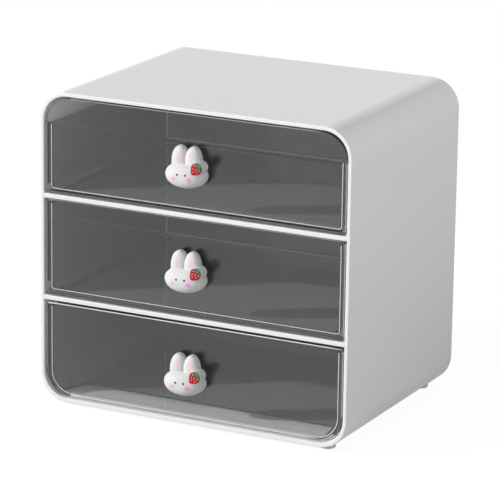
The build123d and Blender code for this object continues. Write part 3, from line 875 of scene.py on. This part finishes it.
# %% Fill the joint
STRIP_DEPTH, STRIP_HALF, STRIP_SPREAD, STRIP_ROUND = 24.6, 98.5, 5.3, 5.0
FLAT_HALF, SHELL_RADIUS = 96.5, 15.8
JOINT_HALF, JOINT_RISE, JOINT_INSET, JOINT_SHORT, ARC_POINTS = (0.85, 0.45), 0.6, 0.28, 1.0, 16
joint_dark = line_finish("joint_dark", 0.02, gloss=0.40, ior=1.08)
low, high = tray_box("bottom")
slant = np.array([-STRIP_SPREAD, -STRIP_DEPTH]) / math.hypot(STRIP_SPREAD, STRIP_DEPTH)
half_angle = math.acos(slant[0]) / 2
corner = np.array([-STRIP_HALF, low[1] + STRIP_DEPTH])
middle = corner + np.array([STRIP_ROUND / math.tan(half_angle), -STRIP_ROUND])
sweep = np.linspace(np.pi / 2 + np.pi - 2 * half_angle, np.pi / 2, ARC_POINTS)
arc = middle + STRIP_ROUND * np.stack([np.cos(sweep), np.sin(sweep)], -1)
side = straight(corner + slant * (STRIP_DEPTH - JOINT_SHORT), arc[0])[:-1]
back = straight(arc[-1], (0.0, arc[-1, 1]))[1:]
half = np.concatenate([side, arc, back])
plan = np.concatenate([half, (half * MIRROR)[-2::-1]])
past = np.clip(np.abs(plan[:, 0]) - FLAT_HALF, 0.0, None)
centre = low[2] + SHELL_RADIUS + TRAY_WALL / 2 + JOINT_RISE
rise = centre - np.sqrt(SHELL_RADIUS ** 2 - past ** 2)
ahead = np.gradient(plan, axis=0)
inward = np.stack([ahead[:, 1], -ahead[:, 0], 0 * past], -1) / np.linalg.norm(ahead, axis=1)[:, None]
path = np.column_stack([plan, rise]) + JOINT_INSET * inward
add_line("bottom_strip_joint", "bottom", path, JOINT_HALF, joint_dark, inward)
print("joint:", len(path), "rings")

# %% [markdown]
# ## The panels' edges
# The cut edges of a clear panel gather light, so its top and its two sides show thin pale lines,
# which are painted highlights.
# They stop short of the round corners, which the top panel has above and the bottom panel below.

# %% Trim the panels
HANDS = (("left", -1.0), ("right", 1.0))
EDGE_HIGHLIGHT_VALUE = {"top": 0.34, "middle": 0.34, "bottom": 0.80}
EDGE_HALF, EDGE_BEHIND, EDGE_BELOW = (0.40, 0.60), 1.0, 0.15
SIDE_HALF, SIDE_BEHIND, SIDE_INSET = (0.32, 0.40), 0.9, 0.40
SHORT_ABOVE = {"top": 19.5, "middle": 1.5, "bottom": 1.5}
SHORT_BELOW = {"top": 1.5, "middle": 1.5, "bottom": 19.5}
# The pale lines along a panel's edges are painted highlights.
side_highlight_grey = line_finish("side_highlight_grey", 0.34)


def panel_box(name):
    """The front panel's box in mm."""
    return [np.array(corner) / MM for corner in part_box(name + "_front_panel")]


def trim_edges(name):
    """A painted highlight: a pale line along the panel's top and one up each of its sides."""
    low, high = panel_box(name)
    edge_highlight = line_finish(name + "_edge_highlight", EDGE_HIGHLIGHT_VALUE[name])
    top_line = level_line(high[0] - SHORT_ABOVE[name], low[1] + EDGE_BEHIND, high[2] - EDGE_BELOW)
    add_line(name + "_edge_top", name, top_line, EDGE_HALF, edge_highlight)
    for hand, sign in HANDS:
        x, y = sign * (high[0] - SIDE_INSET), low[1] + SIDE_BEHIND
        side_line = straight((x, y, low[2] + SHORT_BELOW[name]), (x, y, high[2] - SHORT_ABOVE[name]))
        add_line(name + "_edge_" + hand, name, side_line, SIDE_HALF, side_highlight_grey)


print("panels in mm:", [np.round(high - low, 1).tolist() for low, high in map(panel_box, DRAWERS)])

# %% [markdown]
# ## The painted shade in the margins
# Behind a panel's margins, beside and under its tray, the gap to the case lies in shade, and a dark
# flange there paints that shade. The upper two panels also have a soft dark strip in the slit under
# their foot, painted shade as well. The flange beside a tray is the upright part of a U around it, and
# the one under a tray is a level skirt. One loop then trims each panel and shades its margins.

# %% Paint shade in the margins
FLANGE_HALF, FLANGE_BESIDE, FLANGE_BELOW, FLANGE_BEHIND = (1.35, 0.35), 1.55, 0.2, 0.6
FLANGE_CORNER = {"top": 1.0, "middle": 1.0, "bottom": 18.0}
FLANGE_START = {"top": 1.0, "middle": 1.0, "bottom": 4.0}
SLIT_HALF, SLIT_BEHIND, SLIT_BELOW, SLIT_SHORT = (0.40, 1.40), 1.6, 0.45, 1.5
SKIRT_HALF_THICK, SKIRT_CLEAR = 0.40, 0.05
# Both dark finishes are painted shade, in the gaps beside and under each tray.
flange_shade = line_finish("flange_shade", 0.045, gloss=0.55, ior=1.2)
slit_shade = line_finish("slit_shade", 0.14, gloss=0.55)


def shade_sides(name):
    """A dark flange beside each wall of the tray, painted shade in the gap to the case."""
    low, high = tray_box(name)
    corner_place = (low[0] - FLANGE_BESIDE, low[2] - FLANGE_BELOW)
    margin = u_path(corner_place, FLANGE_CORNER[name], high[2], low[1] + FLANGE_BEHIND)
    margin = margin[margin[:, 2] > low[2] + FLANGE_START[name]]
    for hand, sign in HANDS:
        part = margin[margin[:, 0] * sign > 0]
        add_line(name + "_shade_flange_" + hand, name, part, FLANGE_HALF, flange_shade)


def shade_foot(name):
    """Painted shade: a soft dark strip in the slit under the panel, and a dark skirt behind its foot, up
    to the tray.
    """
    low, high = panel_box(name)
    tray_low = tray_box(name)[0]
    reach = high[0] - SLIT_SHORT
    foot = level_line(reach, low[1] + SLIT_BEHIND, low[2] - SLIT_BELOW)
    add_line(name + "_foot_shade_strip", name, foot, SLIT_HALF, slit_shade)
    half_tall = (tray_low[2] - low[2]) / 2
    skirt = level_line(reach, tray_low[1] + FLANGE_BEHIND, low[2] + half_tall)
    skirt_half = (half_tall - SKIRT_CLEAR, SKIRT_HALF_THICK)
    add_line(name + "_shade_skirt", name, skirt, skirt_half, flange_shade)


for name in DRAWERS:
    trim_edges(name)
    shade_sides(name)
    if name != "bottom":
        shade_foot(name)
print("margins:", len(DRAWERS), "panels trimmed, each with", len(HANDS), "flanges beside its tray")
